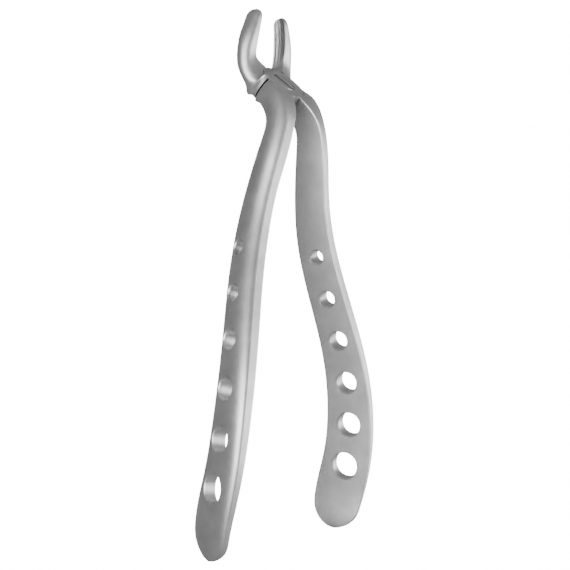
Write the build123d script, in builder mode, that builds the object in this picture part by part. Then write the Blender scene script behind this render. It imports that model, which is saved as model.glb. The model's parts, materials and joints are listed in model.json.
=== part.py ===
"""Upper extraction forceps: two forged halves that cross in a lap joint, held by one slotted pivot screw.

The tool is drawn closed in its own frame: origin on the pivot, X the way the handles spread, Z along the
handles towards the beaks, and Y away from the palm side.  Each half is then turned about the pivot to the
open pose, and the whole tool lies on its back on a table, beaks towards +Y, with +Z up.
"""
from build123d import *
import os
from math import cos, radians, sin, sqrt

os.makedirs("parts", exist_ok=True)

# ---- pose --------------------------------------------------------------------------------------------------
pivot_tilt = 44.0            # the joint plane leans this far out of the handles' own plane
rest_opening = 22.0          # angle between the halves, as drawn in the resting pose
table_pitch = 0.50           # the handles' line against the table, beak end up
pivot_height = 8.98          # pivot centre above the table
pivot_forward = 60.02        # pivot centre ahead of the middle of the tool

# ---- lap joint ---------------------------------------------------------------------------------------------
joint_thickness = 8.2        # both layers together
drum_radius = 7.8            # round shoulder of each layer
shoulder_gap = 0.15          # drum to the round recess of the other half
lap_gap = 0.10               # between the two flat lap faces
handle_cheek_out = 9.5       # outer side of a handle's neck, from the pivot
beak_cheek_out = 8.9         # outer side of a beak's neck, from the pivot
cheek_in = 1.0               # inner side of the neck, from the pivot
handle_neck_crown = 1.5      # height of the round back on a handle's neck
beak_neck_crown = 0.8        # height of the round back on a beak's neck
beak_neck_reaches = (1.0, 3.0, 5.0)    # stations of the straight neck below a beak, from the pivot
handle_neck_reaches = (1.0, 4.0, 7.0)  # stations of the straight neck above a handle, from the pivot
# where each neck stops short of the other half's, from the X axis towards its own arm, when closed
front_beak_stop = 9.0
front_handle_stop = -1.0
rear_beak_stop = 28.5
rear_handle_stop = 21.0

# ---- pivot screw -------------------------------------------------------------------------------------------
head_radius = 4.0
head_height = 2.0
shank_radius = 2.4
slot_width = 1.1
slot_depth = 0.9
slot_angle = 116.0           # direction of the slot in the joint plane
running_clearance = 0.05     # radial, screw to the turning half
head_chamfer = 0.2

# ---- handle ------------------------------------------------------------------------------------------------
handle_reach = 149.9         # pivot to the end of the paddle, along Z
elbow_drop = 12.0            # pivot to the elbow under the joint, along Z
elbow_station = (2.1, -8.7, 9.2, 7.1, 3.6)
grip_top = 20.0              # first grip station, below the pivot
grip_twist = 6.0             # the flat faces turn this far towards the palm
grip_rounding = 0.5          # edges of the flat inner face
paddle_radius = 9.3          # length over which the paddle's end closes
paddle_edge = 1.5            # how far the paddle's end rounds off each face
# inner face from the middle plane, middle of the width along Y, width, thickness, side strip
grip_stations = [
    (3.0, -8.7, 10.0, 7.0, 3.0),
    (4.8, -6.2, 11.3, 6.8, 2.8),
    (6.3, -5.3, 12.4, 6.9, 2.9),
    (8.1, -6.6, 13.1, 6.9, 3.0),
    (9.8, -8.9, 13.7, 6.7, 3.0),
    (11.2, -10.5, 14.9, 6.2, 2.8),
    (11.8, -10.4, 16.2, 5.5, 2.5),
    (11.5, -8.1, 17.2, 4.7, 2.1),
    (10.2, -3.7, 17.2, 3.8, 1.6),
    (8.2, -2.1, 17.2, 3.4, 1.3),
]

# ---- finger holes along the handle -------------------------------------------------------------------------
hole_count = 6
last_hole = 22.6             # largest hole to the paddle's end, along the grip's face
hole_pitch = 14.7
smallest_hole = 4.6          # diameters
largest_hole = 9.0
hole_chamfer = 0.4
flare_over = 0.6             # how far a flare's cone starts outside the face
drill_length = 15.0

# ---- beak --------------------------------------------------------------------------------------------------
beak_reach = 27.2            # pivot to the tip, along Z
beak_root = 7.0              # first beak station, above the pivot
tip_length = 3.9             # last beak station to the tip
tip_corner = 1.8             # length over which the tip closes
tip_edge = 0.7               # how far the tip rounds off each face
beak_rounding = 0.25         # edges of the hollow face
tooth_count = 5              # lengthwise teeth inside a beak
neck_hollow = 0.05           # hollow of a beak's neck
# lip from the middle plane, middle of the width along Y, width, thickness, side strip, hollow, tooth depth
beak_stations = [
    (1.9, 5.1, 7.2, 8.2, 2.9, 0.2, 0.0),
    (4.1, 6.8, 6.1, 6.1, 2.2, 0.6, 0.1),
    (4.0, 6.5, 6.0, 5.2, 2.0, 0.9, 0.22),
    (3.2, 5.8, 6.3, 4.5, 1.7, 1.0, 0.25),
    (2.0, 5.1, 5.9, 3.5, 1.5, 0.8, 0.25),
    (0.9, 4.9, 5.1, 2.3, 1.1, 0.5, 0.2),
]

closing_angles = (22.0, 45.0, 66.0, 84.0)  # sections round the quarter turn in which an end closes
corner_margin = 0.01         # how near to an inner corner counts as being on it
wedge_reach = 40.0           # size of the pieces cut off the necks, past every neck

half_thickness = joint_thickness / 2
recess_radius = drum_radius + shoulder_gap
grip_step = (handle_reach - paddle_radius - grip_top) / (len(grip_stations) - 2)
beak_step = (beak_reach - tip_length - beak_root) / (len(beak_stations) - 2)
shank_line = Vector(0, sin(radians(pivot_tilt)), cos(radians(pivot_tilt)))
pivot_direction = Vector(0, -cos(radians(pivot_tilt)), sin(radians(pivot_tilt)))

table_frame = Plane(
    origin=(0, pivot_forward, pivot_height),
    x_dir=(1, 0, 0),
    z_dir=(0, cos(radians(table_pitch)), sin(radians(table_pitch))),
)


def to_world(frame, direction):
    """A direction given in a frame, as a world direction."""
    return frame.from_local_coords(direction) - frame.origin


def turned_frame(angle):
    """The tool's frame turned about the pivot by an angle in degrees."""
    turned_x = Vector(1, 0, 0).rotate(Axis((0, 0, 0), pivot_direction), angle)
    turned_z = Vector(0, 0, 1).rotate(Axis((0, 0, 0), pivot_direction), angle)
    return Plane(
        origin=table_frame.origin,
        x_dir=to_world(table_frame, turned_x),
        z_dir=to_world(table_frame, turned_z),
    )


def joint_plane(frame):
    """The lap plane of a half: X across the joint, Y along the neck, Z out of the screw head."""
    return Plane(origin=frame.origin, x_dir=frame.x_dir, z_dir=to_world(frame, pivot_direction))


def section_plane(frame, side, centre, tangent, twist=0.0):
    """The plane across an arm at a station: X across the width, Y out of the inner face."""
    lean = Vector(-sin(radians(twist)), cos(radians(twist)), 0)
    outward = lean.cross(tangent).normalized()
    across = tangent.cross(outward).normalized()
    centre, outward, across = (Vector(side * v.X, v.Y, v.Z) for v in (centre, outward, across))
    return Plane(
        origin=frame.from_local_coords(centre),
        x_dir=to_world(frame, across),
        z_dir=to_world(frame, across.cross(outward)),
    )


def handle_section(plane, width, thickness, strip):
    """A section of a handle: flat inner side, two side strips and an elliptical back."""
    with BuildSketch(plane) as section:
        with BuildLine():
            Polyline((-width / 2, strip), (-width / 2, 0), (width / 2, 0), (width / 2, strip))
            EllipticalCenterArc((0, strip), width / 2, thickness - strip, 0, arc_size=180)
        make_face()
        inner_corners = section.vertices().filter_by(lambda corner: corner.Y < corner_margin)
        fillet(inner_corners, radius=min(grip_rounding, strip / 2))
    return section.sketch


def beak_section(plane, width, thickness, strip, hollow, tooth_depth):
    """A section of a beak: hollow toothed inner side, two side strips and an elliptical back."""
    steps = 2 * tooth_count
    teeth = []
    for step in range(1, steps):
        share = 2 * step / steps - 1
        cut = tooth_depth if step % 2 else 0.0
        teeth.append((share * width / 2, hollow * (1 - share**2) + cut))
    with BuildSketch(plane) as section:
        with BuildLine():
            Polyline((-width / 2, strip), (-width / 2, 0), *teeth, (width / 2, 0), (width / 2, strip))
            EllipticalCenterArc((0, strip), width / 2, thickness - strip, 0, arc_size=180)
        make_face()
        inner_corners = section.vertices().filter_by(
            lambda corner: corner.Y < corner_margin and abs(corner.X) > width / 2 - corner_margin
        )
        fillet(inner_corners, radius=min(beak_rounding, strip / 3, width / steps / 2))
    return section.sketch


def neck_points(way, reaches):
    """Inner middles of the straight neck; way is 1 towards the beak and -1 towards the handle."""
    return [Vector(cheek_in, 0, 0) + shank_line * (way * reach) for reach in reaches]


def tangents(points, way):
    """The direction of the line of stations at each one, always towards the beak."""
    found = []
    for index in range(len(points)):
        before = points[max(index - 1, 0)]
        after = points[min(index + 1, len(points) - 1)]
        found.append(((after - before) * way).normalized())
    return found


def smooth_line(points):
    """The curve through the middles of an arm's inner face."""
    with BuildLine() as line:
        Spline(*points)
    return line.edge()


def closing_rows(line, way, reach, edge, last_size, end_size, last_step):
    """Points, tangents and sizes of the sections that close an arm's rounded end."""
    rows = []
    for angle in closing_angles:
        drawn_in = 1 - cos(radians(angle))
        short = reach * (1 - sin(radians(angle)))
        place = line.length - short
        share = max(0.0, 1 - short / last_step)
        width, thickness, strip, *rest = (low + (high - low) * share for low, high in zip(last_size, end_size))
        closed_width = width - 2 * reach * drawn_in
        closed_thickness = thickness - 2 * edge * drawn_in
        shrink = closed_thickness / thickness
        size = (closed_width, closed_thickness, strip * shrink, *(value * (1 - drawn_in) for value in rest))
        tangent = line.tangent_at(place, position_mode=PositionMode.LENGTH) * way
        point = line.position_at(place, position_mode=PositionMode.LENGTH)
        rows.append((point, tangent, edge * drawn_in, size))
    return rows


def grip_points():
    """Middles of the inner face, from the top of the grip to the paddle's end."""
    drops = [grip_top + grip_step * index for index in range(len(grip_stations) - 1)] + [handle_reach]
    return [Vector(bow, sway, -drop) for drop, (bow, sway, *_) in zip(drops, grip_stations)]


def beak_points():
    """Middles of the hollow face, from the beak's root to its tip."""
    rises = [beak_root + beak_step * index for index in range(len(beak_stations) - 1)] + [beak_reach]
    return [Vector(lip, sway, rise) for rise, (lip, sway, *_) in zip(rises, beak_stations)]


def neck_wedge(frame, side, way, stop):
    """The corner cut off a neck, so that it stops short of the other half's neck beside it."""
    far = wedge_reach
    corner = (side * far * cos(radians(stop)), way * far * sin(radians(stop)))
    with BuildPart() as waste:
        with BuildSketch(joint_plane(frame)):
            with BuildLine():
                Polyline((0, 0), corner, (side * far, -way * far), (0, -way * far), close=True)
            make_face()
        extrude(amount=joint_thickness, both=True)
    return waste.part


def crown_height(drop, radius):
    """How far the round back stands off the inner face beside a hole, at a drop below the pivot."""
    place = (drop - grip_top) / grip_step
    index = int(place)
    share = place - index
    width, thickness, strip = (
        low + (high - low) * share
        for low, high in zip(grip_stations[index][2:], grip_stations[index + 1][2:])
    )
    return strip + (thickness - strip) * sqrt(1 - 2 * (radius / width) ** 2)


def rim_flare(plane, radius, height, way):
    """The flare at one mouth of a hole: way is 1 at the round back and -1 at the inner face."""
    with BuildPart() as waste:
        mouth = Plane(
            origin=plane.origin + plane.y_dir * (height + way * flare_over),
            x_dir=plane.x_dir,
            z_dir=plane.y_dir * -way,
        )
        with BuildSketch(mouth):
            Circle(radius + hole_chamfer + flare_over)
        extrude(amount=hole_chamfer + flare_over, taper=45)
    return waste.part


def handle_arm(frame, side, stop):
    """A handle with its neck, its rounded paddle and its finger holes."""
    neck = neck_points(-1, handle_neck_reaches)
    neck_depth = handle_cheek_out - cheek_in
    neck_size = (joint_thickness, neck_depth, neck_depth - handle_neck_crown)
    elbow = Vector(elbow_station[0], elbow_station[1], -elbow_drop)
    face_line = smooth_line(grip_points())
    points = neck + [elbow] + grip_points()
    sizes = [neck_size] * len(neck) + [elbow_station[2:]] + [row[2:] for row in grip_stations]
    twists = [0.0] * len(neck) + [grip_twist / 2] + [grip_twist] * len(grip_stations)
    rows = list(zip(points, tangents(points, -1), twists, sizes))[:-1]
    sections = [
        handle_section(section_plane(frame, side, point, tangent, twist), *size)
        for point, tangent, twist, size in rows
    ]
    for point, tangent, lift, size in closing_rows(
        face_line, -1, paddle_radius, paddle_edge, sizes[-2], sizes[-1], paddle_radius
    ):
        plane = section_plane(frame, side, point, tangent, grip_twist)
        plane.origin += plane.y_dir * lift
        sections.append(handle_section(plane, *size))
    with BuildPart() as arm:
        loft(sections=sections)
        for index in range(hole_count):
            along = face_line.length - last_hole - hole_pitch * (hole_count - 1 - index)
            radius = (smallest_hole + (largest_hole - smallest_hole) * index / (hole_count - 1)) / 2
            centre = face_line.position_at(along, position_mode=PositionMode.LENGTH)
            tangent = -face_line.tangent_at(along, position_mode=PositionMode.LENGTH)
            across = section_plane(frame, side, centre, tangent, grip_twist)
            with BuildSketch(Plane(origin=across.origin, x_dir=across.x_dir, z_dir=across.y_dir)):
                Circle(radius)
            extrude(amount=drill_length, both=True, mode=Mode.SUBTRACT)
            add(rim_flare(across, radius, 0.0, -1), mode=Mode.SUBTRACT)
            add(rim_flare(across, radius, crown_height(-centre.Z, radius), 1), mode=Mode.SUBTRACT)
        add(neck_wedge(frame, side, -1, stop), mode=Mode.SUBTRACT)
    return arm.part


def beak_arm(frame, side, stop):
    """A beak with its neck, its toothed hollow and its rounded tip."""
    neck = neck_points(1, beak_neck_reaches)
    neck_depth = beak_cheek_out - cheek_in
    neck_size = (joint_thickness, neck_depth, neck_depth - beak_neck_crown, neck_hollow, 0.0)
    points = neck + beak_points()
    sizes = [neck_size] * len(neck) + [row[2:] for row in beak_stations]
    rows = list(zip(points, tangents(points, 1), sizes))[:-1]
    sections = [
        beak_section(section_plane(frame, side, point, tangent), *size) for point, tangent, size in rows
    ]
    for point, tangent, lift, size in closing_rows(
        smooth_line(beak_points()), 1, tip_corner, tip_edge, sizes[-2], sizes[-1], tip_length
    ):
        plane = section_plane(frame, side, point, tangent)
        plane.origin += plane.y_dir * lift
        sections.append(beak_section(plane, *size))
    with BuildPart() as arm:
        loft(sections=sections)
        add(neck_wedge(frame, side, 1, stop), mode=Mode.SUBTRACT)
    return arm.part


def layer(frame, radius, low, high):
    """A round layer about the pivot, between two heights along the pivot's axis."""
    with BuildPart() as disc:
        with BuildSketch(joint_plane(frame).offset(low)):
            Circle(radius)
        extrude(amount=high - low)
    return disc.part


def drum(frame, low, high, bores):
    """A half's round layer of the joint; each bore is a radius and the height it starts from."""
    with BuildPart() as disc:
        add(layer(frame, drum_radius, low, high))
        for radius, bottom in bores:
            add(layer(frame, radius, bottom, joint_thickness), mode=Mode.SUBTRACT)
    return disc.part


rear_frame = turned_frame(-rest_opening / 2)
front_frame = turned_frame(rest_opening / 2)
screw_seat = half_thickness - head_height
pivot_axis = Axis(table_frame.origin, joint_plane(table_frame).z_dir)
front_bores = [
    (shank_radius + running_clearance, -half_thickness),
    (head_radius + running_clearance, screw_seat - running_clearance),
]
rear_bores = [(shank_radius, -joint_thickness)]

with BuildPart() as front_half:
    add(handle_arm(front_frame, 1, front_handle_stop))
    add(beak_arm(front_frame, -1, front_beak_stop))
    add(layer(front_frame, recess_radius, -joint_thickness, lap_gap / 2), mode=Mode.SUBTRACT)
    add(layer(front_frame, drum_radius, 0, joint_thickness), mode=Mode.SUBTRACT)
    add(drum(front_frame, lap_gap / 2, half_thickness, front_bores))
front_half.part.label = "front_half"
export_step(front_half.part, "parts/front_half.step")

with BuildPart() as rear_half:
    add(handle_arm(rear_frame, -1, rear_handle_stop))
    add(beak_arm(rear_frame, 1, rear_beak_stop))
    add(layer(rear_frame, recess_radius, -lap_gap / 2, joint_thickness), mode=Mode.SUBTRACT)
    add(layer(rear_frame, drum_radius, -joint_thickness, 0), mode=Mode.SUBTRACT)
    add(drum(rear_frame, -half_thickness, -lap_gap / 2, rear_bores))
rear_half.part.label = "rear_half"
export_step(rear_half.part, "parts/rear_half.step")

with BuildPart() as pivot_screw:
    add(layer(table_frame, shank_radius, -half_thickness, screw_seat))
    add(layer(table_frame, head_radius, screw_seat, half_thickness))
    chamfer(pivot_screw.edges().filter_by(GeomType.CIRCLE).sort_by(pivot_axis)[-1], length=head_chamfer)
    with BuildSketch(joint_plane(table_frame).offset(half_thickness - slot_depth)):
        Rectangle(3 * head_radius, slot_width, rotation=slot_angle)
    extrude(amount=head_height, mode=Mode.SUBTRACT)
pivot_screw.part.label = "pivot_screw"
export_step(pivot_screw.part, "parts/pivot_screw.step")
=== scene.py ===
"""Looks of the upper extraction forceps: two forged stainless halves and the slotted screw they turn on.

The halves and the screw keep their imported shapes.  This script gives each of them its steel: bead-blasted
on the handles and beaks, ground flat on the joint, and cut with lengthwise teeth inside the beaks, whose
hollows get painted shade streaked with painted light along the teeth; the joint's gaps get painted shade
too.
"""

import json
import logging
from dataclasses import dataclass, field
from enum import Enum

import bpy
from mathutils import Matrix, Vector


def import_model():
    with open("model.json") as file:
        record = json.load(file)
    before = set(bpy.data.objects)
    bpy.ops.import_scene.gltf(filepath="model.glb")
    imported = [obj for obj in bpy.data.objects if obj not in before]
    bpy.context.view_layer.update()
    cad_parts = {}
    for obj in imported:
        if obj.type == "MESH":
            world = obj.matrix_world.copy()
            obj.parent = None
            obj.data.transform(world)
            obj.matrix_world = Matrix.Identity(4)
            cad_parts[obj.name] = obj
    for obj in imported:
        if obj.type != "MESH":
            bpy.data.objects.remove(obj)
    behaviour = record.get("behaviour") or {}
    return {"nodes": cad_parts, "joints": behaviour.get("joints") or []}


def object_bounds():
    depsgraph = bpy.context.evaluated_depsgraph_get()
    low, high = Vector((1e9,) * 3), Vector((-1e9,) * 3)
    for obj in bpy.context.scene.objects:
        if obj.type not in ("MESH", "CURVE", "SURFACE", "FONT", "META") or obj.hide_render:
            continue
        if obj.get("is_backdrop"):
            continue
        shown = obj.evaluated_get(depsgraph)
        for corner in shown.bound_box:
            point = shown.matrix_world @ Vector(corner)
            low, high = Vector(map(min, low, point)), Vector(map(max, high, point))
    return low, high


log = logging.getLogger("forceps")

MM = 0.001

# Numbers in the shared marks, against the scale of the fine dimples or the strokes.
CLOUD_SCALE = 0.045
EDGE_PATCH_SCALE = 320.0
EDGE_PATCH_LIFT = 0.6
EDGE_TURN = (0.004, 0.16)


class Effect(Enum):
    """The marks that every steel of the tool shares."""

    BLAST = "bead_blast"
    STROKES = "belt_strokes"
    EDGES = "rubbed_edges"


class NodeSheet:
    """A node tree with short ways to add and join its nodes."""

    def __init__(self, tree: bpy.types.NodeTree) -> None:
        """Keeps the tree that the nodes go in.

        Args:
            tree: The node tree of a material, a world or a group.
        """
        self.tree = tree

    def add(self, kind: str, **settings: object) -> bpy.types.Node:
        """Adds a node.

        Args:
            kind: The node's type name.
            settings: Properties to set on it.

        Returns:
            The new node.
        """
        node = self.tree.nodes.new(kind)
        for name, value in settings.items():
            setattr(node, name, value)
        return node

    def feed(self, source: object, target: bpy.types.NodeSocket) -> None:
        """Joins a socket to an input, or sets the input to a plain value.

        Args:
            source: An output socket, a number or a colour.
            target: The input to feed.
        """
        if isinstance(source, bpy.types.NodeSocket):
            self.tree.links.new(source, target)
        else:
            target.default_value = source

    def math(self, operation: str, *values: object, clamp: bool = False) -> bpy.types.NodeSocket:
        """Works out one number from others.

        Args:
            operation: The Math node's operation.
            values: Sockets or numbers, in the node's order.
            clamp: Whether the result is held between 0 and 1.

        Returns:
            The result's socket.
        """
        node = self.add("ShaderNodeMath", operation=operation, use_clamp=clamp)
        for value, target in zip(values, node.inputs):
            self.feed(value, target)
        return node.outputs[0]

    def vector(self, operation: str, *values: object) -> bpy.types.Node:
        """Works out a vector, or a number from vectors.

        Args:
            operation: The Vector Math node's operation.
            values: Sockets or triples, in the node's order.

        Returns:
            The node, whose outputs are Vector and Value.
        """
        node = self.add("ShaderNodeVectorMath", operation=operation)
        for value, target in zip(values, node.inputs):
            self.feed(value, target)
        return node

    def noise(self, point: object, scale: object, detail: float = 2.0,
              roughness: float = 0.5) -> bpy.types.NodeSocket:
        """Makes an even noise.

        Args:
            point: The surface point's socket.
            scale: How fine the noise is.
            detail: How many finer layers are added.
            roughness: How strong the finer layers are.

        Returns:
            The noise's socket, from 0 to 1.
        """
        node = self.add("ShaderNodeTexNoise")
        node.inputs["Detail"].default_value = detail
        node.inputs["Roughness"].default_value = roughness
        self.feed(point, node.inputs["Vector"])
        self.feed(scale, node.inputs["Scale"])
        return node.outputs["Fac"]

    def ramp(self, value: object, low: float, high: float) -> bpy.types.NodeSocket:
        """Turns a number into a smooth mask.

        Args:
            value: The number's socket.
            low: Where the mask is 0.
            high: Where the mask is 1.

        Returns:
            The mask's socket.
        """
        node = self.add("ShaderNodeMapRange", interpolation_type="SMOOTHSTEP")
        self.feed(value, node.inputs["Value"])
        node.inputs["From Min"].default_value = low
        node.inputs["From Max"].default_value = high
        return node.outputs["Result"]

    def blend(self, share: object, first: object, second: object) -> bpy.types.NodeSocket:
        """Mixes two numbers.

        Args:
            share: How much of the second shows.
            first: The number at a share of 0.
            second: The number at a share of 1.

        Returns:
            The mixed number's socket.
        """
        node = self.add("ShaderNodeMix", data_type="FLOAT")
        self.feed(share, node.inputs[0])
        self.feed(first, node.inputs[2])
        self.feed(second, node.inputs[3])
        return node.outputs[0]

    def tint(self, share: object, first: object, second: object) -> bpy.types.NodeSocket:
        """Mixes two colours.

        Args:
            share: How much of the second shows.
            first: The colour at a share of 0.
            second: The colour at a share of 1.

        Returns:
            The mixed colour's socket.
        """
        node = self.add("ShaderNodeMix", data_type="RGBA")
        self.feed(share, node.inputs[0])
        self.feed(first, node.inputs[6])
        self.feed(second, node.inputs[7])
        return node.outputs[2]


class Effects:
    """The node groups that the steels share, each built once for the whole tool."""

    @staticmethod
    def start(name: str, inputs: dict[str, float], outputs: list[str]) -> tuple[NodeSheet, dict, dict]:
        """Starts a group that works on a point of the surface.

        Args:
            name: The group's name.
            inputs: Names and first values of its numbers.
            outputs: Names of its results.

        Returns:
            Its sheet, its inputs by name and its result sockets by name.
        """
        tree = bpy.data.node_groups.new(name, "ShaderNodeTree")
        tree.interface.new_socket("Vector", in_out="INPUT", socket_type="NodeSocketVector")
        for label, value in inputs.items():
            socket = tree.interface.new_socket(label, in_out="INPUT", socket_type="NodeSocketFloat")
            socket.default_value = value
        for label in outputs:
            tree.interface.new_socket(label, in_out="OUTPUT", socket_type="NodeSocketFloat")
        sheet = NodeSheet(tree)
        entry = sheet.add("NodeGroupInput")
        leave = sheet.add("NodeGroupOutput")
        return sheet, entry.outputs, leave.inputs

    @classmethod
    def blast(cls) -> bpy.types.NodeTree:
        """Makes the fine dimples that glass beads leave on steel.

        Returns:
            The group, with a Height and a Shade.
        """
        sheet, given, found = cls.start(Effect.BLAST.value, {"Scale": 2600.0}, ["Height", "Shade"])
        dimples = sheet.noise(given["Vector"], given["Scale"], detail=3.0, roughness=0.65)
        cloud = sheet.noise(given["Vector"], sheet.math("MULTIPLY", given["Scale"], CLOUD_SCALE))
        sheet.feed(dimples, found["Height"])
        sheet.feed(cloud, found["Shade"])
        return sheet.tree

    @classmethod
    def strokes(cls) -> bpy.types.NodeTree:
        """Makes straight scratches along one direction, as a grinding belt leaves them.

        Returns:
            The group, with a Height.
        """
        sheet, given, found = cls.start(Effect.STROKES.value, {"Scale": 900.0, "Stretch": 0.03}, ["Height"])
        squeeze = sheet.add("ShaderNodeCombineXYZ")
        sheet.feed(1.0, squeeze.inputs["X"])
        sheet.feed(given["Stretch"], squeeze.inputs["Y"])
        sheet.feed(1.0, squeeze.inputs["Z"])
        place = sheet.vector("MULTIPLY", given["Vector"], squeeze.outputs[0])
        lines = sheet.noise(place.outputs["Vector"], given["Scale"], detail=4.0, roughness=0.7)
        sheet.feed(lines, found["Height"])
        return sheet.tree

    @classmethod
    def rubbed_edges(cls) -> bpy.types.NodeTree:
        """Finds the edges that hands and cloths rub bright.

        Returns:
            The group, with a Mask that is 1 on a sharp edge.
        """
        sheet, given, found = cls.start(Effect.EDGES.value, {"Reach": 0.00035}, ["Mask"])
        soft = sheet.add("ShaderNodeBevel", samples=4)
        sheet.feed(given["Reach"], soft.inputs["Radius"])
        flat = sheet.add("ShaderNodeNewGeometry")
        turn = sheet.vector("DOT_PRODUCT", soft.outputs["Normal"], flat.outputs["Normal"])
        edge = sheet.math("SUBTRACT", 1.0, turn.outputs["Value"])
        patchy = sheet.noise(given["Vector"], EDGE_PATCH_SCALE)
        share = sheet.math("MULTIPLY", edge, sheet.math("ADD", patchy, EDGE_PATCH_LIFT))
        sheet.feed(sheet.ramp(share, *EDGE_TURN), found["Mask"])
        return sheet.tree


@dataclass(frozen=True)
class SteelFinish:
    """Stainless steel with a blasted skin, ground flats, brighter edges, and painted shade in the beaks'
    hollows and the joint's gaps.
    """

    name: str
    colour: tuple[float, float, float, float] = (0.56, 0.56, 0.565, 1.0)
    shaded: tuple[float, float, float, float] = (0.47, 0.47, 0.475, 1.0)
    worn: tuple[float, float, float, float] = (0.72, 0.72, 0.725, 1.0)
    roughness: float = 0.40
    worn_roughness: float = 0.26
    ground_roughness: float = 0.34
    blast_scale: float = 2600.0
    blast_depth: float = 0.05
    stroke_depth: float = 0.04
    # Painted shade: the beaks' serrated hollows are coloured dark, with lighter streaks as painted light
    # along the teeth.
    hollow_painted_shade: tuple[float, float, float, float] = (0.20, 0.20, 0.205, 1.0)
    hollow_painted_ridge_light: tuple[float, float, float, float] = (0.44, 0.44, 0.445, 1.0)
    hollow_start: float = 0.0705
    hollow_shade_full: float = 0.0755
    hollow_stroke_depth: float = 0.12
    # Painted shade: a near-black colour laid into the joint's narrow gaps through an occlusion mask.
    joint_painted_shade: tuple[float, float, float, float] = (0.03, 0.03, 0.03, 1.0)
    shade_reach: float = 2.2 * MM
    shade_open: float = 0.75
    shade_shut: float = 0.35
    shade_start: float = 13.5 * MM
    shade_full: float = 11.5 * MM
    grain: float = 0.16

    def inner_face(self, sheet: NodeSheet, point: bpy.types.NodeSocket,
                   normal: bpy.types.NodeSocket) -> tuple[bpy.types.NodeSocket, bpy.types.NodeSocket]:
        """Finds the hollow faces of the beaks, which look at each other across the gap.

        Args:
            sheet: The material's sheet.
            point: The surface point.
            normal: The surface's direction there.

        Returns:
            A mask of the hollow faces, and how far along towards the tip their painted shade has set in.
        """
        split = sheet.add("ShaderNodeSeparateXYZ")
        sheet.feed(point, split.inputs[0])
        facing = sheet.add("ShaderNodeSeparateXYZ")
        sheet.feed(normal, facing.inputs[0])
        inward = sheet.math("MULTIPLY", sheet.math("SIGN", split.outputs["X"]), facing.outputs["X"])
        inner = sheet.ramp(sheet.math("MULTIPLY", inward, -1.0), 0.55, 0.85)
        forward = sheet.ramp(split.outputs["Y"], self.hollow_start, self.hollow_start + 2 * MM)
        mask = sheet.math("MULTIPLY", inner, forward)
        return mask, sheet.ramp(split.outputs["Y"], self.hollow_start, self.hollow_shade_full)

    def crevice_shade(self, sheet: NodeSheet, reach: bpy.types.NodeSocket) -> bpy.types.NodeSocket:
        """Finds the narrow gaps of the joint, where little light gets in, for their painted shade.

        Args:
            sheet: The material's sheet.
            reach: The point's distance from the pivot.

        Returns:
            A mask that is 1 deep in a gap.
        """
        # Painted shade: the occlusion mask darkens the joint's gaps where light is shut out.
        shut = sheet.add("ShaderNodeAmbientOcclusion", samples=8)
        shut.inputs["Distance"].default_value = self.shade_reach
        deep = sheet.ramp(shut.outputs["AO"], self.shade_open, self.shade_shut)
        return sheet.math("MULTIPLY", deep, sheet.ramp(reach, self.shade_start, self.shade_full))

    def place(self, sheet: NodeSheet, group: bpy.types.NodeTree, point: bpy.types.NodeSocket,
              **values: float) -> bpy.types.Node:
        """Adds a shared effect to the material.

        Args:
            sheet: The material's sheet.
            group: The effect's node group.
            point: The surface point it reads.
            values: Numbers for its inputs.

        Returns:
            The group's node.
        """
        node = sheet.add("ShaderNodeGroup")
        node.node_tree = group
        sheet.feed(point, node.inputs["Vector"])
        for label, value in values.items():
            node.inputs[label].default_value = value
        return node

    def build(self, effects: dict[Effect, bpy.types.NodeTree], pivot: Vector, axis: Vector,
              flat_reach: float) -> bpy.types.Material:
        """Makes the material.

        Args:
            effects: The shared node groups.
            pivot: The middle of the joint.
            axis: The direction of the pivot.
            flat_reach: How far the ground faces of the joint reach from the pivot.

        Returns:
            The finished material.
        """
        material = bpy.data.materials.new(self.name)
        material.use_nodes = True
        sheet = NodeSheet(material.node_tree)
        sheet.tree.nodes.clear()
        shader = sheet.add("ShaderNodeBsdfPrincipled")
        shader.inputs["Metallic"].default_value = 1.0
        spot = sheet.add("ShaderNodeTexCoord")
        point = spot.outputs["Object"]
        blast = self.place(sheet, effects[Effect.BLAST], point, Scale=self.blast_scale)
        strokes = self.place(sheet, effects[Effect.STROKES], point)
        edges = self.place(sheet, effects[Effect.EDGES], point)

        arm = sheet.vector("SUBTRACT", point, tuple(pivot))
        reach = sheet.vector("LENGTH", arm.outputs["Vector"]).outputs["Value"]
        facing = sheet.vector("DOT_PRODUCT", spot.outputs["Normal"], tuple(axis)).outputs["Value"]
        near = sheet.ramp(reach, flat_reach * 1.05, flat_reach)
        flat = sheet.math("MULTIPLY", sheet.ramp(sheet.math("ABSOLUTE", facing), 0.93, 0.98), near)

        cloudy = sheet.ramp(blast.outputs["Shade"], 0.3, 0.75)
        skin = sheet.tint(cloudy, self.shaded, self.colour)
        inner, depth = self.inner_face(sheet, point, spot.outputs["Normal"])
        # Painted shade in the beak hollows, streaked with painted light where the tooth bumps rise.
        ridge_light_streaks = sheet.ramp(strokes.outputs["Height"], 0.35, 0.68)
        painted_tooth_shading = sheet.tint(ridge_light_streaks, self.hollow_painted_shade, self.hollow_painted_ridge_light)
        base = sheet.tint(inner, skin, sheet.tint(depth, self.worn, painted_tooth_shading))
        rubbed = sheet.tint(edges.outputs["Mask"], base, self.worn)
        # Painted shade: the joint's gaps are coloured near black over the steel.
        sheet.feed(sheet.tint(self.crevice_shade(sheet, reach), rubbed, self.joint_painted_shade), shader.inputs["Base Color"])

        satin = sheet.blend(flat, self.roughness, self.ground_roughness)
        dimple = sheet.math("SUBTRACT", blast.outputs["Height"], 0.5)
        grainy = sheet.math("ADD", satin, sheet.math("MULTIPLY", dimple, self.grain))
        roughness = sheet.blend(edges.outputs["Mask"], grainy, self.worn_roughness)
        sheet.feed(roughness, shader.inputs["Roughness"])

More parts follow.
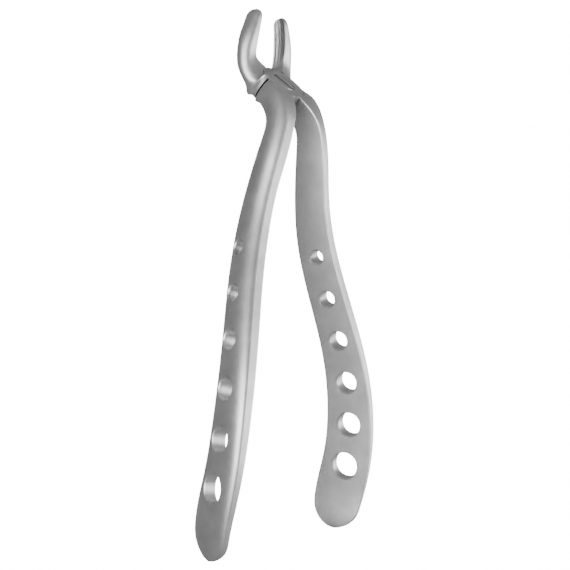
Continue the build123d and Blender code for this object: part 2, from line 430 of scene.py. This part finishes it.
        dimples = sheet.math("MULTIPLY", blast.outputs["Height"], self.blast_depth)
        ground = sheet.math("MULTIPLY", strokes.outputs["Height"], self.stroke_depth)
        carved = sheet.math("MULTIPLY", strokes.outputs["Height"], self.hollow_stroke_depth)
        height = sheet.blend(inner, sheet.blend(flat, dimples, ground), carved)
        bump = sheet.add("ShaderNodeBump")
        bump.inputs["Distance"].default_value = MM
        bump.inputs["Strength"].default_value = 1.0
        sheet.feed(height, bump.inputs["Height"])
        sheet.feed(bump.outputs["Normal"], shader.inputs["Normal"])
        leave = sheet.add("ShaderNodeOutputMaterial")
        sheet.feed(shader.outputs["BSDF"], leave.inputs["Surface"])
        return material


@dataclass
class Forceps:
    """The tool itself: its two halves and its screw, as packed."""

    nodes: dict[str, bpy.types.Object]
    joint: dict
    halves: tuple[str, ...] = ("front_half", "rear_half")
    screw: str = "pivot_screw"
    flat_reach: float = 10.5 * MM
    forged: SteelFinish = field(default_factory=lambda: SteelFinish("forged_steel_satin"))
    turned: SteelFinish = field(default_factory=lambda: SteelFinish(
        "screw_steel_satin", ground_roughness=0.3, stroke_depth=0.05))

    def dress(self) -> None:
        """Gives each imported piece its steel."""
        effects = {
            Effect.BLAST: Effects.blast(),
            Effect.STROKES: Effects.strokes(),
            Effect.EDGES: Effects.rubbed_edges(),
        }
        pivot = Vector(self.joint["pos_m"])
        axis = Vector(self.joint["axis"])
        for name in self.halves:
            self.coat(name, self.forged.build(effects, pivot, axis, self.flat_reach))
        self.coat(self.screw, self.turned.build(effects, pivot, axis, self.flat_reach))

    def coat(self, name: str, material: bpy.types.Material) -> None:
        """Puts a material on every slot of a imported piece.

        Args:
            name: The piece's node.
            material: Its steel.
        """
        piece = self.nodes[name]
        for place in piece.material_slots:
            place.material = material
        log.info("%s wears %s", name, material.name)


@dataclass
class Studio:
    """The pale table, the soft lights and the camera."""

    table_half: float = 3.0
    table_shade: float = 16.0
    table_in_metal: float = 0.34
    room_light: float = 0.42
    left_watts: float = 22.0
    right_watts: float = 12.0
    lens: float = 60.76
    camera_place: tuple[float, float, float] = (-0.23759, -0.01666, 0.21486)
    camera_right: tuple[float, float, float] = (0.65019, -0.00763, 0.75973)
    camera_up: tuple[float, float, float] = (-0.02650, 0.99911, 0.03271)

    def table(self, height: float) -> None:
        """Lays the table under the tool.

        Args:
            height: The level of its top.
        """
        bpy.ops.object.select_all(action="DESELECT")
        bpy.ops.mesh.primitive_plane_add(size=2 * self.table_half, location=(0, 0, height))
        top = bpy.context.object
        top.name = "table_top"
        material = bpy.data.materials.new("pale_table")
        material.use_nodes = True
        sheet = NodeSheet(material.node_tree)
        sheet.tree.nodes.clear()
        ray = sheet.add("ShaderNodeLightPath")
        shade = sheet.blend(ray.outputs["Is Camera Ray"], self.table_in_metal, self.table_shade)
        glow = sheet.add("ShaderNodeEmission")
        sheet.feed(shade, glow.inputs["Strength"])
        leave = sheet.add("ShaderNodeOutputMaterial")
        sheet.feed(glow.outputs["Emission"], leave.inputs["Surface"])
        top.data.materials.append(material)
        top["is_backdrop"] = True

    def lamp(self, name: str, place: Vector, aim: Vector, size: tuple[float, float], watts: float) -> None:
        """Hangs a soft box.

        Args:
            name: The lamp's name.
            place: Where it hangs.
            aim: The point it faces.
            size: Its width and length.
            watts: Its power.
        """
        light = bpy.data.lights.new(name, "AREA")
        light.shape = "RECTANGLE"
        light.size, light.size_y = size
        light.energy = watts
        lamp = bpy.data.objects.new(name, light)
        lamp.location = place
        lamp.rotation_mode = "QUATERNION"
        lamp.rotation_quaternion = (aim - place).to_track_quat("-Z", "Y")
        bpy.context.scene.collection.objects.link(lamp)

    def lights(self) -> None:
        """Sets the room's soft light and the two soft boxes."""
        world = bpy.data.worlds.new("soft_room")
        world.use_nodes = True
        world.node_tree.nodes["Background"].inputs["Color"].default_value = (1, 1, 1, 1)
        world.node_tree.nodes["Background"].inputs["Strength"].default_value = self.room_light
        bpy.context.scene.world = world
        middle = Vector((0, 0, 0.01))
        self.lamp("left_box", Vector((-0.9, 0.0, 0.28)), middle, (0.55, 1.4), self.left_watts)
        self.lamp("right_box", Vector((0.6, -0.1, 0.6)), middle, (0.7, 1.1), self.right_watts)

    def camera(self) -> None:
        """Sets the camera over the left handle, looking down and to the right."""
        data = bpy.data.cameras.new("camera")
        data.lens = self.lens
        data.sensor_width = 36.0
        data.clip_start = 0.01
        camera = bpy.data.objects.new("camera", data)
        right, up = Vector(self.camera_right), Vector(self.camera_up)
        turn = Matrix((right, up, right.cross(up))).transposed()
        camera.matrix_world = Matrix.Translation(self.camera_place) @ turn.to_4x4()
        bpy.context.scene.collection.objects.link(camera)
        bpy.context.scene.camera = camera


def main() -> None:
    """Dresses the forceps and sets the studio round it."""
    logging.basicConfig(level=logging.INFO, format="%(message)s")
    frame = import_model()
    packed = [list(corner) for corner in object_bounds()]
    Forceps(frame["nodes"], frame["joints"][0]).dress()
    studio = Studio()
    studio.table(packed[0][2])
    studio.lights()
    studio.camera()


if __name__ == "__main__":
    main()
